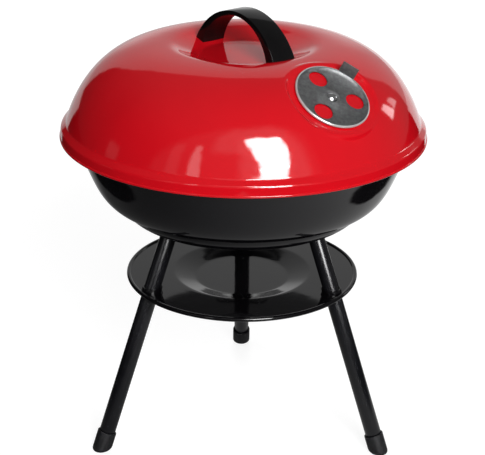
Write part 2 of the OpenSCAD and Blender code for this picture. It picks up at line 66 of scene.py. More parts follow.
# ---- Lid shell -------------------------------------------------------------
# Deep-drawn steel sheet with red porcelain enamel inside and out. The dome ends in a flange and a short
# skirt with a rolled hem; a dimple is pressed in its top for the handle and a flat seat for the damper.
whole_turn = 2 * math.pi
merge_gap = 1e-6
same_place = 1e-5
lid_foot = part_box("lid_shell")[0].z
lid_sides = 384
lid_wall = 0.0012
lid_pole_r = 0.006
hem_r = 0.0014
skirt_foot = Vector((0.1784, 0.0, lid_foot + hem_r))
ridge = Vector((0.1778, 0.0, 0.323))
ridge_round = 0.0014
dome_foot = Vector((0.1726, 0.0, 0.328))
dome_foot_round = 0.0012
dome_foot_pull = Vector((-0.01014, 0.0, 0.03014))
crest = Vector((0.076, 0.0, 0.403))
crest_outer_pull = Vector((0.062, 0.0, 0.0))
crest_inner_pull = Vector((-0.007, 0.0, 0.0))
dimple_slope = math.radians(20)
dimple_lip = Vector((0.062, 0.0, 0.3996))
dimple_lip_pull = 0.004 * Vector((math.cos(dimple_slope), 0.0, math.sin(dimple_slope)))
dimple_cone_w = 0.020
dimple_floor = dimple_lip - dimple_cone_w * Vector((1.0, 0.0, math.tan(dimple_slope)))
dimple_round = 0.0018
seat_turn = math.radians(-51.5)
seat_tilt = math.radians(34)
seat_out = 0.127
seat_up = 0.3795
seat_middle = Vector((seat_out * math.cos(seat_turn), seat_out * math.sin(seat_turn), seat_up))
seat_frame = Matrix.Rotation(seat_turn, 3, "Z") @ Matrix.Rotation(seat_tilt, 3, "Y")
seat_flat_r = 0.0420
seat_lip_r = 0.0470
seat_fine_r = 0.056
seat_reach = 0.02
enamel_red = (0.690, 0.0050, 0.0120, 1.0)


def bend(start, start_pull, end_pull, end, steps):
    """Points along a curve that leaves start towards start_pull and reaches end from end_pull."""
    found = []
    for i in range(steps + 1):
        gone = i / steps
        left = 1 - gone
        found.append(left**3 * start + 3 * left * left * gone * start_pull
                     + 3 * left * gone * gone * end_pull + gone**3 * end)
    return found


def straight(start, end, steps):
    """Points spaced evenly from start to end."""
    return [start.lerp(end, i / steps) for i in range(steps + 1)]


def joined(*runs):
    """One line through all the runs, without the points that two of them share."""
    line = []
    for run in runs:
        for point in run:
            if not line or (point - line[-1]).length > merge_gap:
                line.append(point)
    return line


def draw_line(name, points):
    """A plane merged to one point, then extruded from point to point."""
    bpy.ops.object.select_all(action="DESELECT")
    bpy.ops.mesh.primitive_plane_add(size=0.01, location=(0, 0, 0))
    piece = bpy.context.object
    piece.name = piece.data.name = name
    bpy.ops.object.mode_set(mode="EDIT")
    bpy.ops.mesh.select_all(action="SELECT")
    bpy.ops.mesh.merge(type="CENTER")
    bpy.ops.transform.translate(value=points[0])
    for here, there in zip(points, points[1:]):
        bpy.ops.mesh.extrude_vertices_move(TRANSFORM_OT_translate={"value": there - here})
    bpy.ops.object.mode_set(mode="OBJECT")
    return piece


def deselect_mesh(mode):
    """Deselects the active piece's whole mesh; the mode says if points, edges or faces are picked next."""
    bpy.ops.object.mode_set(mode="EDIT")
    bpy.ops.mesh.select_mode(type=mode)
    bpy.ops.mesh.select_all(action="DESELECT")
    bpy.ops.object.mode_set(mode="OBJECT")


def round_corners(piece, corners, radius, steps):
    """Bevels the line's points that lie at the given corners."""
    deselect_mesh("VERT")
    for vertex in piece.data.vertices:
        vertex.select = any((vertex.co - corner).length < same_place for corner in corners)
    bpy.ops.object.mode_set(mode="EDIT")
    bpy.ops.mesh.bevel(offset=radius, segments=steps, affect="VERTICES")
    bpy.ops.object.mode_set(mode="OBJECT")


def spin_line(piece, sides):
    """Spins the line about the upright axis, closes its poles and turns its faces outwards."""
    bpy.ops.object.mode_set(mode="EDIT")
    bpy.ops.mesh.select_all(action="SELECT")
    bpy.ops.mesh.spin(steps=sides, angle=whole_turn, center=(0, 0, 0), axis=(0, 0, 1), use_auto_merge=True)
    bpy.ops.mesh.select_all(action="SELECT")
    bpy.ops.mesh.remove_doubles(threshold=merge_gap)
    bpy.ops.mesh.normals_make_consistent(inside=False)
    bpy.ops.object.mode_set(mode="OBJECT")


def pick(*pieces):
    """Selects only these pieces, and makes the first one active."""
    bpy.ops.object.select_all(action="DESELECT")
    for piece in pieces:
        piece.select_set(True)
    bpy.context.view_layer.objects.active = pieces[0]


def finish_with(piece, kind, **settings):
    """Adds one modifier with these settings and applies it."""
    pick(piece)
    modifier = piece.modifiers.new(kind.lower(), kind)
    for name, value in settings.items():
        setattr(modifier, name, value)
    bpy.ops.object.modifier_apply(modifier=modifier.name)


def join_pieces(whole, *parts):
    """Joins the parts into the whole, as one mesh."""
    pick(whole, *parts)
    bpy.ops.object.join()


def set_in_place(piece):
    """Puts the object at the origin, unturned and unscaled, with its place in its mesh."""
    pick(piece)
    bpy.ops.object.transform_apply(location=True, rotation=True, scale=True)


def smooth(piece, angle):
    """Smooth shading, with the corners sharper than the angle, in degrees, kept crisp."""
    pick(piece)
    bpy.ops.object.shade_smooth_by_angle(angle=math.radians(angle))


def ring_of_wire(name, radius, wire, height, sides, wire_sides):
    """A closed ring of round wire or a rolled edge."""
    bpy.ops.object.select_all(action="DESELECT")
    bpy.ops.mesh.primitive_torus_add(
        major_radius=radius, minor_radius=wire, location=(0, 0, height),
        major_segments=sides, minor_segments=wire_sides)
    ring = bpy.context.object
    ring.name = ring.data.name = name
    set_in_place(ring)
    return ring


def scaled(colour, share):
    """The colour, with its light scaled by the share."""
    return (colour[0] * share, colour[1] * share, colour[2] * share, 1.0)


def make_coat_group():
    """The unevenness that every coat and metal here has: soft patches of colour, of shine and of height."""
    group = bpy.data.node_groups.new("uneven_coat", "ShaderNodeTree")
    sockets = (
        ("Place", "INPUT", "NodeSocketVector"),
        ("Dark Colour", "INPUT", "NodeSocketColor"), ("Light Colour", "INPUT", "NodeSocketColor"),
        ("Patch Scale", "INPUT", "NodeSocketFloat"), ("Shine", "INPUT", "NodeSocketFloat"),
        ("Shine Spread", "INPUT", "NodeSocketFloat"), ("Shine Scale", "INPUT", "NodeSocketFloat"),
        ("Wave Scale", "INPUT", "NodeSocketFloat"), ("Wave Detail", "INPUT", "NodeSocketFloat"),
        ("Colour", "OUTPUT", "NodeSocketColor"), ("Roughness", "OUTPUT", "NodeSocketFloat"),
        ("Height", "OUTPUT", "NodeSocketFloat"),
    )
    for label, way, kind in sockets:
        group.interface.new_socket(name=label, in_out=way, socket_type=kind)
    taken = group.nodes.new("NodeGroupInput").outputs
    given = group.nodes.new("NodeGroupOutput").inputs

    def cloud(scale, detail):
        """Soft noise over the object, its middle stretch spread from 0 to 1.

        scale names one of the group's sockets; detail names another or is a number.
        """
        noise = group.nodes.new("ShaderNodeTexNoise")
        group.links.new(taken["Place"], noise.inputs["Vector"])
        group.links.new(taken[scale], noise.inputs["Scale"])
        if isinstance(detail, str):
            group.links.new(taken[detail], noise.inputs["Detail"])
        else:
            noise.inputs["Detail"].default_value = detail
        spread = group.nodes.new("ShaderNodeMapRange")
        spread.inputs["From Min"].default_value = 0.3
        spread.inputs["From Max"].default_value = 0.7
        group.links.new(noise.outputs["Fac"], spread.inputs["Value"])
        return spread.outputs["Result"]

    blend = group.nodes.new("ShaderNodeMix")
    blend.data_type = "RGBA"
    group.links.new(cloud("Patch Scale", detail=3.0), blend.inputs["Factor"])
    group.links.new(taken["Dark Colour"], blend.inputs["A"])
    group.links.new(taken["Light Colour"], blend.inputs["B"])
    group.links.new(blend.outputs["Result"], given["Colour"])
    rough = group.nodes.new("ShaderNodeMath")
    rough.operation = "MULTIPLY_ADD"
    group.links.new(cloud("Shine Scale", detail=4.0), rough.inputs[0])
    group.links.new(taken["Shine Spread"], rough.inputs[1])
    group.links.new(taken["Shine"], rough.inputs[2])
    group.links.new(rough.outputs["Value"], given["Roughness"])
    group.links.new(cloud("Wave Scale", detail="Wave Detail"), given["Height"])
    return group


uneven_coat = make_coat_group()


def coated(name, colour, depth, patch, shine, waves, metallic=0.0, gloss=0.5):
    """A material with the uneven coat: its colour varies by the depth, in patches of the given scale.

    shine holds the roughness, its spread and its scale; waves the height in metres, scale and detail.
    """
    material = bpy.data.materials.new(name)
    material.use_nodes = True
    nodes = material.node_tree.nodes
    links = material.node_tree.links
    shader = nodes["Principled BSDF"]
    shader.inputs["Metallic"].default_value = metallic
    shader.inputs["Specular IOR Level"].default_value = gloss
    coat = nodes.new("ShaderNodeGroup")
    coat.node_tree = uneven_coat
    links.new(nodes.new("ShaderNodeTexCoord").outputs["Object"], coat.inputs["Place"])
    values = {
        "Dark Colour": scaled(colour, 1 - depth), "Light Colour": scaled(colour, 1 + depth),
        "Patch Scale": patch, "Shine": shine[0], "Shine Spread": shine[1], "Shine Scale": shine[2],
        "Wave Scale": waves[1], "Wave Detail": waves[2],
    }
    for label, value in values.items():
        coat.inputs[label].default_value = value
    bump = nodes.new("ShaderNodeBump")
    bump.inputs["Distance"].default_value = waves[0]
    links.new(coat.outputs["Colour"], shader.inputs["Base Color"])
    links.new(coat.outputs["Roughness"], shader.inputs["Roughness"])
    links.new(coat.outputs["Height"], bump.inputs["Height"])
    links.new(bump.outputs["Normal"], shader.inputs["Normal"])
    return material


def dress(piece, material):
    """Gives the piece this one material."""
    piece.data.materials.clear()
    piece.data.materials.append(material)


def seen_from_seat(point):
    """The point's place on the seat: x and y in its plane, z out of the lid."""
    return seat_frame.transposed() @ (point - seat_middle)


def refine_seat(piece):
    """Splits each face near the seat in four, with the new points on the curve of the dome."""
    deselect_mesh("FACE")
    for face in piece.data.polygons:
        face.select = (face.center - seat_middle).length < seat_fine_r
    bpy.ops.object.mode_set(mode="EDIT")
    bpy.ops.mesh.subdivide(number_cuts=1, smoothness=1.0)
    bpy.ops.mesh.select_mode(type="VERT")
    bpy.ops.object.mode_set(mode="OBJECT")


def press_seat(piece):
    """Presses the damper's flat seat into the dome: level inside its flat, easing out to the dome."""
    for vertex in piece.data.vertices:
        place = seen_from_seat(vertex.co)
        if abs(place.z) > seat_reach:
            continue
        share = (math.hypot(place.x, place.y) - seat_flat_r) / (seat_lip_r - seat_flat_r)
        share = min(max(share, 0.0), 1.0)
        place.z *= share * share * (3 - 2 * share)
        vertex.co = seat_frame @ place + seat_middle


lid_outline = joined(
    [skirt_foot, ridge, dome_foot],
    bend(dome_foot, dome_foot + dome_foot_pull, crest + crest_outer_pull, crest, steps=64),
    bend(crest, crest + crest_inner_pull, dimple_lip + dimple_lip_pull, dimple_lip, steps=10),
    straight(dimple_lip, dimple_floor, steps=8),
    straight(dimple_floor, Vector((lid_pole_r, 0, dimple_floor.z)), steps=8),
    [Vector((0, 0, dimple_floor.z))],
)
lid = draw_line("lid", lid_outline)
round_corners(lid, [ridge], ridge_round, steps=4)
round_corners(lid, [dome_foot], dome_foot_round, steps=3)
round_corners(lid, [dimple_floor], dimple_round, steps=3)
spin_line(lid, lid_sides)
refine_seat(lid)
press_seat(lid)
finish_with(lid, "SOLIDIFY", thickness=lid_wall, offset=-1.0)
lid_hem = ring_of_wire("lid_hem", skirt_foot.x - lid_wall / 2, hem_r, skirt_foot.z, lid_sides,
                       wire_sides=12)
join_pieces(lid, lid_hem)
smooth(lid, angle=60)
dress(lid, coated("red_enamel", enamel_red, depth=0.04, patch=14.0,
                  shine=(0.05, 0.03, 60.0), waves=(0.000025, 90.0, 1.0)))
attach(lid, "lid")
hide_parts("lid_shell")


# ---- Lid handle ------------------------------------------------------------
# One arch of glossy black plastic, moulded thin at its top and thick at its feet, where two screws
# come up through the lid. Its sides taper upwards and all its edges are eased.
handle_turn = math.radians(-50)
handle_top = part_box("lid_handle")[1].z
handle_rise = handle_top - crest.z
handle_outer_half = 0.0555
handle_inner_half = 0.0445
handle_top_t = 0.0042
handle_top_w = 0.023
handle_foot_w = 0.027
handle_edge = 0.0009
handle_sides = 320
plastic_black = (0.0045, 0.0043, 0.0046, 1.0)


def arc_radius(half, rise):
    """Radius of the arc with this half span and rise."""
    return (half * half + rise * rise) / (2 * rise)


def drum(name, radius, top, width, sides):
    """A round bar across the handle's plane, with its crown at the given height."""
    bpy.ops.object.select_all(action="DESELECT")
    bpy.ops.mesh.primitive_cylinder_add(
        vertices=sides, radius=radius, depth=width, location=(0, 0, top - radius),
        rotation=(math.pi / 2, 0, 0))
    bar = bpy.context.object
    bar.name = bar.data.name = name
    set_in_place(bar)
    return bar


def cut_away(piece, cutter):
    """Cuts the cutter's shape out of the piece."""
    finish_with(piece, "BOOLEAN", operation="DIFFERENCE", solver="EXACT", object=cutter)
    bpy.data.objects.remove(cutter)


def ease_edges(piece, width, steps, sharper_than):
    """Rounds the edges that are sharper than the angle, given in degrees."""
    finish_with(piece, "BEVEL", width=width, segments=steps, limit_method="ANGLE",
                angle_limit=math.radians(sharper_than))


def slice_off(piece, point, outwards):
    """Cuts the piece along a plane, drops what lies outwards of it and closes the cut."""
    pick(piece)
    bpy.ops.object.mode_set(mode="EDIT")
    bpy.ops.mesh.select_all(action="SELECT")
    bpy.ops.mesh.bisect(plane_co=point, plane_no=outwards, use_fill=True, clear_outer=True)
    bpy.ops.object.mode_set(mode="OBJECT")


handle = drum("handle", arc_radius(handle_outer_half, handle_rise), handle_top, handle_foot_w, handle_sides)
finger_room = drum("finger_room", arc_radius(handle_inner_half, handle_rise - handle_top_t),
                   handle_top - handle_top_t, 2 * handle_foot_w, handle_sides)
cut_away(handle, finger_room)
taper = (handle_foot_w - handle_top_w) / 2 / (handle_top - dimple_floor.z)
for side in (-1, 1):
    slice_off(handle, Vector((side * dimple_floor.x, 0, dimple_floor.z)),
              Vector((side * math.sin(dimple_slope), 0, -math.cos(dimple_slope))))
    slice_off(handle, Vector((0, side * handle_top_w / 2, handle_top)), Vector((0, side, taper)))
ease_edges(handle, handle_edge, steps=3, sharper_than=40)
handle.rotation_euler = (0, 0, handle_turn)
set_in_place(handle)
smooth(handle, angle=40)
dress(handle, coated("handle_plastic", plastic_black, depth=0.3, patch=30.0,
                     shine=(0.07, 0.04, 220.0), waves=(0.00001, 160.0, 1.0), gloss=0.22))
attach(handle, "lid")
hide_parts("lid_handle")


# ---- Handle screws, washers and the other small zinc-plated pieces ---------
# Pressed and turned steel with a thin bright zinc plating, a little dull and uneven: the fastenings and
# the damper under the bowl, whose shapes are right as they come.
zinc = (0.50, 0.51, 0.52, 1.0)
zinc_plate = coated("zinc_plate", zinc, depth=0.14, patch=900.0,
                    shine=(0.28, 0.12, 540.0), waves=(0.00002, 900.0, 4.0), metallic=1.0)
for name in ("handle_screws", "handle_washers", "lid_damper_washer", "bowl_damper", "bowl_damper_washer",
             "socket_screws", "socket_nuts"):
    dress(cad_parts[name], zinc_plate)


# ---- Lid damper ------------------------------------------------------------
# A stamped disc of zinc-plated steel with a rolled edge, a low bead round its middle, air holes and a
# finger tab bent up at its rim. The rolled edge is painted a light grey, as a painted highlight along the
# rim.
disc_r = 0.0350
disc_t = 0.0010
disc_foot = 0.00095
disc_top = disc_foot + disc_t
disc_sides = 160
disc_edge_r = 0.0014
disc_edge_middle = Vector((disc_r, 0, disc_foot + disc_edge_r))
disc_edge_from = disc_r - 0.1 * disc_edge_r
disc_edge_to = disc_r + 1.2 * disc_edge_r
disc_edge_top = disc_foot + 2.2 * disc_edge_r
disc_groove = 0.0030
disc_rim_w = 0.0010
bead_r = 0.0075
bead_crown = 0.0005
bead_foot = 0.0013
bead_h = 0.0005
rivet_r = 0.0025
rivet_fit = 0.0001
disc_bore_r = rivet_r + rivet_fit
disc_turn = math.radians(63)
tab_turn = math.radians(60)
tab_w = 0.016
tab_h = 0.015
tab_edge = 0.0003
air_hole_r = 0.0090
air_hole_reach = 0.0225
air_holes = 3
disc_grey = (0.190, 0.194, 0.197, 1.0)
painted_edge_highlight = (0.74, 0.74, 0.74, 1.0)


def seat_on_lid(piece, turn):
    """Moves a piece made flat at the origin to the lid's seat, turned about its rivet."""
    piece.matrix_world = (
        Matrix.Translation(seat_middle) @ seat_frame.to_4x4() @ Matrix.Rotation(turn, 4, "Z")
    )
    set_in_place(piece)


def upright_peg(name, radius, height, place, sides):
    """A round bar that stands on its middle at the given place."""
    bpy.ops.object.select_all(action="DESELECT")
    bpy.ops.mesh.primitive_cylinder_add(vertices=sides, radius=radius, depth=height, location=place)
    peg = bpy.context.object
    peg.name = peg.data.name = name
    set_in_place(peg)
    return peg


def half_round(middle, radius, start, end, steps):
    """Points round an arc in the XZ plane, from the start angle to the end angle, in degrees."""
    return [
        middle + radius * Vector((math.cos(math.radians(angle)), 0, math.sin(math.radians(angle))))
        for angle in (start + (end - start) * i / steps for i in range(steps + 1))
    ]


disc_outline = joined(
    [Vector((disc_bore_r, 0, disc_foot)), Vector((disc_r - disc_rim_w, 0, disc_foot))],
    half_round(disc_edge_middle, disc_edge_r, start=-90, end=150, steps=16),
    [Vector((disc_r - disc_groove, 0, disc_top)),
     Vector((bead_r + bead_foot, 0, disc_top)), Vector((bead_r + bead_crown, 0, disc_top + bead_h)),
     Vector((bead_r - bead_crown, 0, disc_top + bead_h)), Vector((bead_r - bead_foot, 0, disc_top)),
     Vector((disc_bore_r, 0, disc_top)), Vector((disc_bore_r, 0, disc_foot))],
)
damper = draw_line("lid_air_damper", disc_outline)
spin_line(damper, disc_sides)
for i in range(air_holes):
    turn = whole_turn * i / air_holes
    place = (air_hole_reach * math.cos(turn), air_hole_reach * math.sin(turn), disc_foot)
    cut_away(damper, upright_peg("air_hole", air_hole_r, 10 * disc_t, place, sides=64))
bpy.ops.object.select_all(action="DESELECT")
bpy.ops.mesh.primitive_cube_add(size=1.0, location=(disc_r, 0, disc_foot + tab_h / 2),
                                scale=(disc_t, tab_w, tab_h))
tab = bpy.context.object
tab.name = tab.data.name = "finger_tab"
set_in_place(tab)
ease_edges(tab, tab_edge, steps=2, sharper_than=40)
tab.rotation_euler = (0, 0, tab_turn)
set_in_place(tab)
join_pieces(damper, tab)
seat_on_lid(damper, disc_turn)
smooth(damper, angle=35)
dress(damper, coated("disc_plate", disc_grey, depth=0.22, patch=260.0,
                     shine=(0.50, 0.16, 420.0), waves=(0.00003, 700.0, 4.0), metallic=1.0))
# The second material, a light grey with less metal in it, is a painted highlight on the rolled edge.
damper.data.materials.append(coated("disc_edge_highlight", painted_edge_highlight, depth=0.05, patch=200.0,
                                    shine=(0.16, 0.06, 300.0), waves=(0.00001, 300.0, 2.0), metallic=0.45))
# The faces of the rolled edge take the painted highlight.
for face in damper.data.polygons:
    place = seen_from_seat(face.center)
    if disc_edge_from < math.hypot(place.x, place.y) < disc_edge_to and place.z < disc_edge_top:
        face.material_index = 1
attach(damper, "lid_damper")
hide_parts("lid_damper")


# ---- Lid damper rivet ------------------------------------------------------
# A chrome-plated rivet with a low domed head, closed inside the lid, that the disc turns on. The rivet
# of the damper under the bowl has the same plating.
rivet_head_r = 0.0053
rivet_head_h = 0.0026
rivet_room = 0.00005
rivet_foot = disc_top + rivet_room
rivet_end_r = 0.0045
rivet_end_low = -0.0026
rivet_end_high = -0.0012
rivet_ball_r = (rivet_head_r**2 + rivet_head_h**2) / (2 * rivet_head_h)
rivet_ball_middle = Vector((0, 0, rivet_foot + rivet_head_h - rivet_ball_r))
rivet_span = math.degrees(math.asin(rivet_head_r / rivet_ball_r))
rivet_line = joined(
    [Vector((0, 0, rivet_end_low)), Vector((rivet_end_r, 0, rivet_end_low)),
     Vector((rivet_end_r, 0, rivet_end_high)), Vector((rivet_r, 0, rivet_end_high)),
     Vector((rivet_r, 0, rivet_foot)), Vector((rivet_head_r, 0, rivet_foot))],
    half_round(rivet_ball_middle, rivet_ball_r, start=90 - rivet_span, end=90, steps=12),
)
rivet = draw_line("lid_rivet", rivet_line)
spin_line(rivet, sides=64)
seat_on_lid(rivet, turn=0.0)
smooth(rivet, angle=40)
chrome = (0.72, 0.72, 0.73, 1.0)
chrome_plate = coated("chrome_plate", chrome, depth=0.06, patch=300.0,
                      shine=(0.05, 0.06, 200.0), waves=(0.00001, 300.0, 2.0), metallic=1.0)
dress(rivet, chrome_plate)
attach(rivet, "lid")
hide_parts("lid_damper_rivet")
dress(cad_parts["bowl_damper_rivet"], chrome_plate)


# ---- Bowl ------------------------------------------------------------------
# Deep-drawn steel sheet with black porcelain enamel. Its mouth is rolled over, and near its foot a
# ledge is pressed inwards, which carries the charcoal grate. The brackets and sockets have its enamel.
bowl_sides = 288
bowl_wall = 0.0012
bowl_bead_r = 0.0030
bowl_pole_r = 0.006
bowl_bottom = 0.235
mouth = Vector((0.1712, 0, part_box("bowl_shell")[1].z - bowl_bead_r))
wall_top = mouth + Vector((-0.6 * bowl_bead_r, 0, -bowl_bead_r))
ledge = Vector((0.132, 0, bowl_bottom + 0.017))
ledge_back = ledge + Vector((-0.010, 0, 0))
ledge_round = 0.0011
step_foot = ledge_back + Vector((-0.0013, 0, -0.006))
bowl_flat = Vector((0.108, 0, bowl_bottom))
enamel_black = (0.0050, 0.0046, 0.0058, 1.0)


def slope(length, lean):
    """A pull of the given length, inwards and down, leaning from the upright by so many degrees."""
    return length * Vector((-math.sin(math.radians(lean)), 0, -math.cos(math.radians(lean))))


wall_top_pull = slope(length=0.0354, lean=30.8)
ledge_pull = slope(length=0.0185, lean=58.7)
step_pull = slope(length=0.0052, lean=12)
bowl_flat_pull = Vector((0.0052, 0, 0))
bowl_outline = joined(
    [mouth],
    bend(wall_top, wall_top + wall_top_pull, ledge - ledge_pull, ledge, steps=40),
    [ledge_back],
    bend(step_foot, step_foot + step_pull, bowl_flat + bowl_flat_pull, bowl_flat, steps=12),
    straight(bowl_flat, Vector((bowl_pole_r, 0, bowl_bottom)), steps=10),
    [Vector((0, 0, bowl_bottom))],
)
bowl = draw_line("bowl", bowl_outline)
round_corners(bowl, [ledge, ledge_back], ledge_round, steps=4)
spin_line(bowl, bowl_sides)
finish_with(bowl, "SOLIDIFY", thickness=bowl_wall, offset=-1.0)
bowl_bead = ring_of_wire("bowl_bead", mouth.x, bowl_bead_r, mouth.z, bowl_sides, wire_sides=20)
join_pieces(bowl, bowl_bead)
smooth(bowl, angle=60)
black_enamel = coated("black_enamel", enamel_black, depth=0.12, patch=14.0,
                      shine=(0.03, 0.03, 60.0), waves=(0.00002, 80.0, 1.0))
dress(bowl, black_enamel)
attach(bowl, "base")
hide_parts("bowl_shell")
for name in ("grate_bracket_front", "grate_bracket_right", "grate_bracket_left",
             "leg_socket_left", "leg_socket_right", "leg_socket_back"):
    dress(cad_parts[name], black_enamel)


# ---- Grates ----------------------------------------------------------------
# Welded steel wire, each a ring with straight bars across it. The cooking grate is chrome-plated and has
# two loops to lift it by; the charcoal grate under it is left plain.
wire_grey = (0.26, 0.26, 0.265, 1.0)
plain_wire = coated("plain_wire", wire_grey, depth=0.2, patch=500.0,
                    shine=(0.36, 0.14, 300.0), waves=(0.00003, 500.0, 4.0), metallic=1.0)
for name, metal in (("cooking_grate", chrome_plate), ("charcoal_grate", plain_wire)):
    dress(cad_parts[name], metal)


# ---- Legs ------------------------------------------------------------------
# Straight steel tubes with a black powder coat, pushed over the sockets' studs under the bowl and
# splayed outwards.
leg_turns = {"left": math.radians(-150), "right": math.radians(-30), "back": math.radians(90)}
leg_splay = math.radians(19.7)
leg_r = 0.008
leg_wall = 0.0012
leg_start = 0.006
leg_end = 0.24298
leg_edge = 0.0003
foot_circle_r = 0.16184
coat_black = (0.0060, 0.0060, 0.0075, 1.0)
powder_coat = coated("powder_coat", coat_black, depth=0.2, patch=40.0,
                     shine=(0.20, 0.06, 150.0), waves=(0.00001, 500.0, 2.0))


def along_leg(piece, turn):
    """Leans a piece made on the upright axis into the line of a leg."""
    piece.matrix_world = (
        Matrix.Rotation(turn, 4, "Z")
        @ Matrix.Translation((foot_circle_r, 0, 0))
        @ Matrix.Rotation(-leg_splay, 4, "Y")
    )
    set_in_place(piece)


def upright_tube(name, inner_r, outer_r, low, high):
    """A round tube about the upright axis, between the two heights."""
    tube = draw_line(name, [
        Vector((inner_r, 0, low)), Vector((outer_r, 0, low)), Vector((outer_r, 0, high)),
        Vector((inner_r, 0, high)), Vector((inner_r, 0, low))])
    spin_line(tube, sides=64)
    return tube


for side, turn in leg_turns.items():
    leg = upright_tube(f"leg_tube_{side}", leg_r - leg_wall, leg_r, leg_start, leg_end)
    ease_edges(leg, leg_edge, steps=2, sharper_than=40)
    along_leg(leg, turn)
    smooth(leg, angle=40)
    dress(leg, powder_coat)
    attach(leg, "base")
    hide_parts(f"leg_{side}")


# ---- Foot caps -------------------------------------------------------------
# Moulded black rubber, pushed over the ends of the legs, each with a level sole that is well rounded
# at its edge.
cap_r = 0.0095
cap_len = 0.021
cap_floor = 0.006
sole_round = 0.0045
cap_edge = 0.0006
rubber_colour = (0.0060, 0.0060, 0.0068, 1.0)
rubber = coated("rubber", rubber_colour, depth=0.3, patch=120.0,
                shine=(0.52, 0.14, 300.0), waves=(0.00010, 900.0, 4.0), gloss=0.3)


def round_sole(piece):
    """Bevels the edge of the face that stands on the floor."""
    deselect_mesh("VERT")
    for vertex in piece.data.vertices:
        vertex.select = vertex.co.z < same_place
    for edge in piece.data.edges:
        edge.select = all(piece.data.vertices[i].select for i in edge.vertices)
    bpy.ops.object.mode_set(mode="EDIT")
    bpy.ops.mesh.select_mode(type="EDGE")
    bpy.ops.mesh.bevel(offset=sole_round, segments=6, affect="EDGES")
    bpy.ops.mesh.select_mode(type="VERT")
    bpy.ops.object.mode_set(mode="OBJECT")


for side, turn in leg_turns.items():
    cap = draw_line(f"cap_{side}", [
        Vector((0, 0, -cap_r)), Vector((cap_r, 0, -cap_r)), Vector((cap_r, 0, cap_len)),
        Vector((leg_r, 0, cap_len)), Vector((leg_r, 0, cap_floor)), Vector((0, 0, cap_floor))])
    spin_line(cap, sides=64)
    along_leg(cap, turn)
    slice_off(cap, Vector((0, 0, 0)), Vector((0, 0, -1)))
    round_sole(cap)
    ease_edges(cap, cap_edge, steps=3, sharper_than=50)
    smooth(cap, angle=40)
    dress(cap, rubber)
    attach(cap, "base")
    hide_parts(f"foot_cap_{side}")


# ---- Ash plate -------------------------------------------------------------
# Pressed steel sheet with glossy black enamel: a rolled rim, a shallow round recess in the middle, and
# a hole with a turned-up collar for each leg.
plate_z = 0.165
plate_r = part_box("ash_plate")[1].x
plate_sides = 256
plate_wall = 0.0012
plate_pole_r = 0.005
plate_bead_r = 0.0022
plate_rim = Vector((plate_r - plate_bead_r, 0, plate_z))
recess_outer = Vector((0.069, 0, plate_z))
recess_inner = Vector((0.047, 0, plate_z - 0.006))
recess_round = 0.0012
leg_hole_fit = 0.00035
leg_hole_r = leg_r + leg_hole_fit
leg_hole_depth = 0.08
collar_wall = 0.0012
collar_h = 0.004
collar_edge = 0.0004
collar_tube_low = 0.12
collar_tube_high = 0.20
plate_outline = joined(
    straight(plate_rim, recess_outer, steps=12),
    straight(recess_outer, recess_inner, steps=6),
    straight(recess_inner, Vector((plate_pole_r, 0, recess_inner.z)), steps=8),
    [Vector((0, 0, recess_inner.z))],
)
plate = draw_line("ash_tray", plate_outline)
round_corners(plate, [recess_outer, recess_inner], recess_round, steps=3)
spin_line(plate, plate_sides)
finish_with(plate, "SOLIDIFY", thickness=plate_wall, offset=-1.0)
collars = []
for side, turn in leg_turns.items():
    crossing = plate_z / math.cos(leg_splay)
    hole = upright_peg("leg_hole", leg_hole_r, leg_hole_depth, (0, 0, crossing), sides=64)
    along_leg(hole, turn)
    cut_away(plate, hole)
    collar = upright_tube("collar", leg_hole_r, leg_hole_r + collar_wall, collar_tube_low, collar_tube_high)
    along_leg(collar, turn)
    slice_off(collar, Vector((0, 0, plate_z - plate_wall)), Vector((0, 0, -1)))
    slice_off(collar, Vector((0, 0, plate_z + collar_h)), Vector((0, 0, 1)))
    ease_edges(collar, collar_edge, steps=3, sharper_than=50)
    collars.append(collar)
plate_bead = ring_of_wire("plate_bead", plate_rim.x, plate_bead_r, plate_z - plate_wall / 2, plate_sides,
                          wire_sides=16)
join_pieces(plate, plate_bead, *collars)
smooth(plate, angle=40)
dress(plate, coated("plate_enamel", scaled(enamel_black, share=0.6), depth=0.12, patch=14.0,
                    shine=(0.05, 0.03, 60.0), waves=(0.00002, 70.0, 1.0), gloss=0.34))
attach(plate, "base")
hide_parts("ash_plate")


# ---- Floor -----------------------------------------------------------------
# A plain pale floor, white to the camera, which keeps the soft shadow. A gloss shows the sheet that the
# grill stands on, dim on its left and white where it runs back to the wall, and the dark beside it.
floor_grey = (0.30, 0.30, 0.30, 1.0)
floor_in_gloss = (0.01, 0.01, 0.01, 1.0)
white_to_camera = 0.84
sheet_half = 0.350
sheet_edge = 0.004
sheet_slant = 0.15
sheet_slant_end = 0.2
sheet_straight = 0.60
sheet_spread = 0.80
sheet_left = 0.07
sheet_right = 0.54
sheet_side = 0.35
sheet_behind = 0.55
sheet_behind_start = 0.25
sheet_behind_end = 0.80


def math_node(nodes, links, operation, *values):
    """One step of arithmetic on sockets or plain numbers."""
    step = nodes.new("ShaderNodeMath")
    step.operation = operation
    for i, value in enumerate(values):
        if isinstance(value, (int, float)):
            step.inputs[i].default_value = value
        else:
            links.new(value, step.inputs[i])
    return step.outputs["Value"]


def ramp(nodes, links, value, start, end, low, high):
    """An eased ramp of the value: low up to start, high from end on."""
    ease = nodes.new("ShaderNodeMapRange")
    ease.interpolation_type = "SMOOTHSTEP"
    for label, number in (("From Min", start), ("From Max", end), ("To Min", low), ("To Max", high)):
        ease.inputs[label].default_value = number
    links.new(value, ease.inputs["Value"])
    return ease.outputs["Result"]


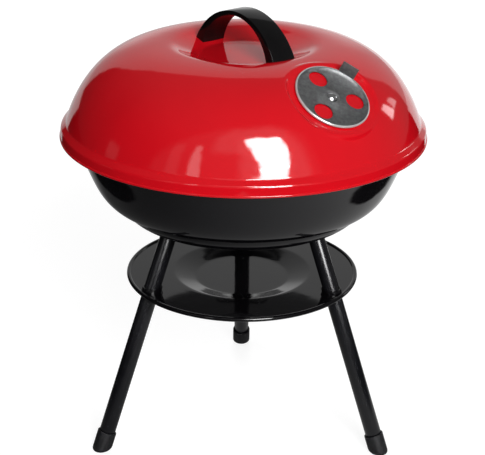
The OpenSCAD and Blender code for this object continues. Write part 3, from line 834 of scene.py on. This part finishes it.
bpy.ops.object.select_all(action="DESELECT")
bpy.ops.mesh.primitive_plane_add(size=40.0, location=(0, 0, 0))
floor = bpy.context.object
floor.name = floor.data.name = "floor"
floor_paint = coated("floor_paint", floor_grey, depth=0.02, patch=3.0,
                     shine=(0.85, 0.05, 5.0), waves=(0.0001, 30.0, 1.0))
nodes = floor_paint.node_tree.nodes
links = floor_paint.node_tree.links
shader = nodes["Principled BSDF"]
shader.inputs["Specular IOR Level"].default_value = 0.0
shader.inputs["Emission Color"].default_value = (1.0, 1.0, 1.0, 1.0)
ways = nodes.new("ShaderNodeSeparateXYZ")
links.new(nodes.new("ShaderNodeTexCoord").outputs["Object"], ways.inputs[0])
across = ways.outputs["X"]
back = ways.outputs["Y"]
past = math_node(nodes, links, "MAXIMUM", math_node(nodes, links, "SUBTRACT", back, sheet_straight), 0.0)
near = math_node(nodes, links, "MINIMUM", back, sheet_slant_end)
slant = math_node(nodes, links, "MULTIPLY", near, sheet_slant)
spread = math_node(nodes, links, "MULTIPLY_ADD", past, sheet_spread, slant)
beside = math_node(nodes, links, "SUBTRACT", math_node(nodes, links, "ABSOLUTE", across), spread)
on_sheet = ramp(nodes, links, beside, sheet_half - sheet_edge, sheet_half + sheet_edge, low=1.0, high=0.0)
from_left = ramp(nodes, links, across, -sheet_side, sheet_side, sheet_left, sheet_right)
from_behind = ramp(nodes, links, back, sheet_behind_start, sheet_behind_end, low=0.0, high=sheet_behind)
white = math_node(nodes, links, "ADD", from_left, from_behind)
seen = nodes.new("ShaderNodeLightPath")
in_gloss = math_node(nodes, links, "MULTIPLY", seen.outputs["Is Glossy Ray"],
                     math_node(nodes, links, "MULTIPLY", on_sheet, white))
glow = math_node(nodes, links, "MULTIPLY_ADD", seen.outputs["Is Camera Ray"], white_to_camera, in_gloss)
links.new(glow, shader.inputs["Emission Strength"])
paint = nodes.new("ShaderNodeMix")
paint.data_type = "RGBA"
links.new(seen.outputs["Is Glossy Ray"], paint.inputs["Factor"])
links.new(shader.inputs["Base Color"].links[0].from_socket, paint.inputs["A"])
paint.inputs["B"].default_value = floor_in_gloss
links.new(paint.outputs["Result"], shader.inputs["Base Color"])
floor.data.materials.append(floor_paint)


# ---- Light -----------------------------------------------------------------
# A white backdrop, an even soft light in the room, one broad lamp in front on the right and weaker
# ones behind and on the left. The gloss shows the room itself: a white wall behind and a tall window.
room_light = 0.10
unevenness = 0.05
kettle_middle = Vector((0, 0, 0.3))
world = bpy.data.worlds.new("room")
bpy.context.scene.world = world
world.use_nodes = True
nodes = world.node_tree.nodes
links = world.node_tree.links
background = nodes["Background"]
background.inputs["Color"].default_value = (1.0, 1.0, 1.0, 1.0)
# Every direction is shaken a little, so that no edge of the room is ruled in a gloss.
tremble = nodes.new("ShaderNodeTexNoise")
tremble.inputs["Scale"].default_value = 9.0
tremble.inputs["Detail"].default_value = 3.0
straight_on = nodes.new("ShaderNodeTexCoord").outputs["Generated"]
links.new(straight_on, tremble.inputs["Vector"])
shaken = nodes.new("ShaderNodeVectorMath")
shaken.operation = "MULTIPLY_ADD"
links.new(tremble.outputs["Color"], shaken.inputs[0])
shaken.inputs[1].default_value = (unevenness, unevenness, unevenness)
links.new(straight_on, shaken.inputs[2])
centred = nodes.new("ShaderNodeVectorMath")
centred.operation = "SUBTRACT"
centred.inputs[1].default_value = (unevenness / 2, unevenness / 2, unevenness / 2)
links.new(shaken.outputs["Vector"], centred.inputs[0])
direction = centred.outputs["Vector"]


def towards(turn, height):
    """The direction at a turn to the right of the front and a height above level, in degrees."""
    turn, height = math.radians(turn), math.radians(height)
    return Vector((math.sin(turn) * math.cos(height), -math.cos(turn) * math.cos(height), math.sin(height)))


def dot_with(vector):
    """How far the ray's direction goes along the vector."""
    product = nodes.new("ShaderNodeVectorMath")
    product.operation = "DOT_PRODUCT"
    product.inputs[1].default_value = vector
    links.new(direction, product.inputs[0])
    return product.outputs["Value"]


def lit_patch(*corners, strength, soft):
    """A bright patch of the room between corners given as turn and height, in order, with soft edges."""
    ways = [towards(*corner) for corner in corners]
    middle = sum(ways, Vector((0, 0, 0)))
    share = strength
    for here, there in zip(ways, ways[1:] + ways[:1]):
        inwards = here.cross(there).normalized()
        if inwards.dot(middle) < 0:
            inwards.negate()
        edge = ramp(nodes, links, dot_with(inwards), -soft, soft, low=0, high=1)
        share = math_node(nodes, links, "MULTIPLY", edge, share)
    return share


# Between the patches the room is dim, and a little lighter above and on the right.
lighter_side = Vector((0.55, -0.1, 0.8))
dim_room = ramp(nodes, links, dot_with(lighter_side), start=-0.2, end=0.6, low=0.02, high=0.15)
patches = (
    # The white wall behind, and its brighter middle.
    lit_patch((-151, -25), (-151, 30), (-159, 41), (-175, 48), (165, 46), (141, 25), (137, 15), (143, -5),
              (143, -25), strength=0.43, soft=0.02),
    lit_patch((-165, -25), (-165, 10), (168, 12), (168, -25), strength=0.35, soft=0.10),
    # The room in front, a curtain in it and the glow round the window.
    lit_patch((-62, -5), (-60, 26), (-48, 42), (-5, 60), (30, 62), (48, 48), (50, -5),
              strength=0.16, soft=0.06),
    lit_patch((-22, 34), (-20, 50), (-4, 57), (2, 34), strength=0.50, soft=0.06),
    lit_patch((-2, 12), (-2, 56), (33, 56), (42, 42), (43, 12), strength=0.60, soft=0.06),
    # The window: its upper and lower panes, and the light that falls in beside the lower one.
    lit_patch((11.5, 22), (1, 46), (10, 48), (30, 46), (32, 33), (30, 22), strength=26.0, soft=0.012),
    lit_patch((11.5, 14), (11.5, 23), (30, 23), (27, 14), strength=26.0, soft=0.012),
    lit_patch((4, 13), (5, 17), (12, 19), (12, 13), strength=12.0, soft=0.010),
    # A narrow opening on the left, and what shines faintly further left.
    lit_patch((-35, 12), (-35.5, 24), (-33, 38), (-29.5, 36), (-27.5, 14), strength=2.4, soft=0.02),
    lit_patch((-50, 12), (-49, 34), (-42, 36), (-42, 12), strength=0.30, soft=0.03),
    lit_patch((-95, 6), (-95, 14), (-86, 14), (-86, 6), strength=0.25, soft=0.03),
    # A small window behind on the right, in two parts.
    lit_patch((119, 12), (118, 21), (123, 21), (127, 12), strength=5.0, soft=0.012),
    lit_patch((128, 11), (128, 18), (133, 16), (135, 10), strength=2.0, soft=0.012),
)
in_gloss = dim_room
for patch in patches:
    in_gloss = math_node(nodes, links, "ADD", in_gloss, patch)
seen = nodes.new("ShaderNodeLightPath")
level = nodes.new("ShaderNodeMix")
level.data_type = "FLOAT"
links.new(seen.outputs["Is Glossy Ray"], level.inputs["Factor"])
level.inputs["A"].default_value = room_light
links.new(in_gloss, level.inputs["B"])
links.new(math_node(nodes, links, "MAXIMUM", level.outputs["Result"], seen.outputs["Is Camera Ray"]),
          background.inputs["Strength"])


def soft_lamp(name, turn, height, reach, size, level):
    """A broad lamp that shows in no gloss. At level 1, a surface that faces it shows its own colour."""
    bpy.ops.object.light_add(type="AREA", location=kettle_middle + reach * towards(turn, height))
    lamp = bpy.context.object
    lamp.name = lamp.data.name = name
    lamp.data.shape = "DISK"
    lamp.data.size = size
    lamp.data.energy = level * (math.pi * reach) ** 2
    lamp.visible_glossy = False
    lamp.rotation_euler = (kettle_middle - lamp.location).to_track_quat("-Z", "Y").to_euler()


soft_lamp("front_lamp", turn=18, height=26, reach=3.0, size=1.4, level=0.92)
soft_lamp("back_lamp", turn=180, height=28, reach=3.0, size=1.6, level=0.42)
soft_lamp("left_lamp", turn=-120, height=20, reach=3.0, size=1.6, level=0.16)


# ---- Last update -----------------------------------------------------------
# The view layer is brought up to date once more.
bpy.context.view_layer.update()
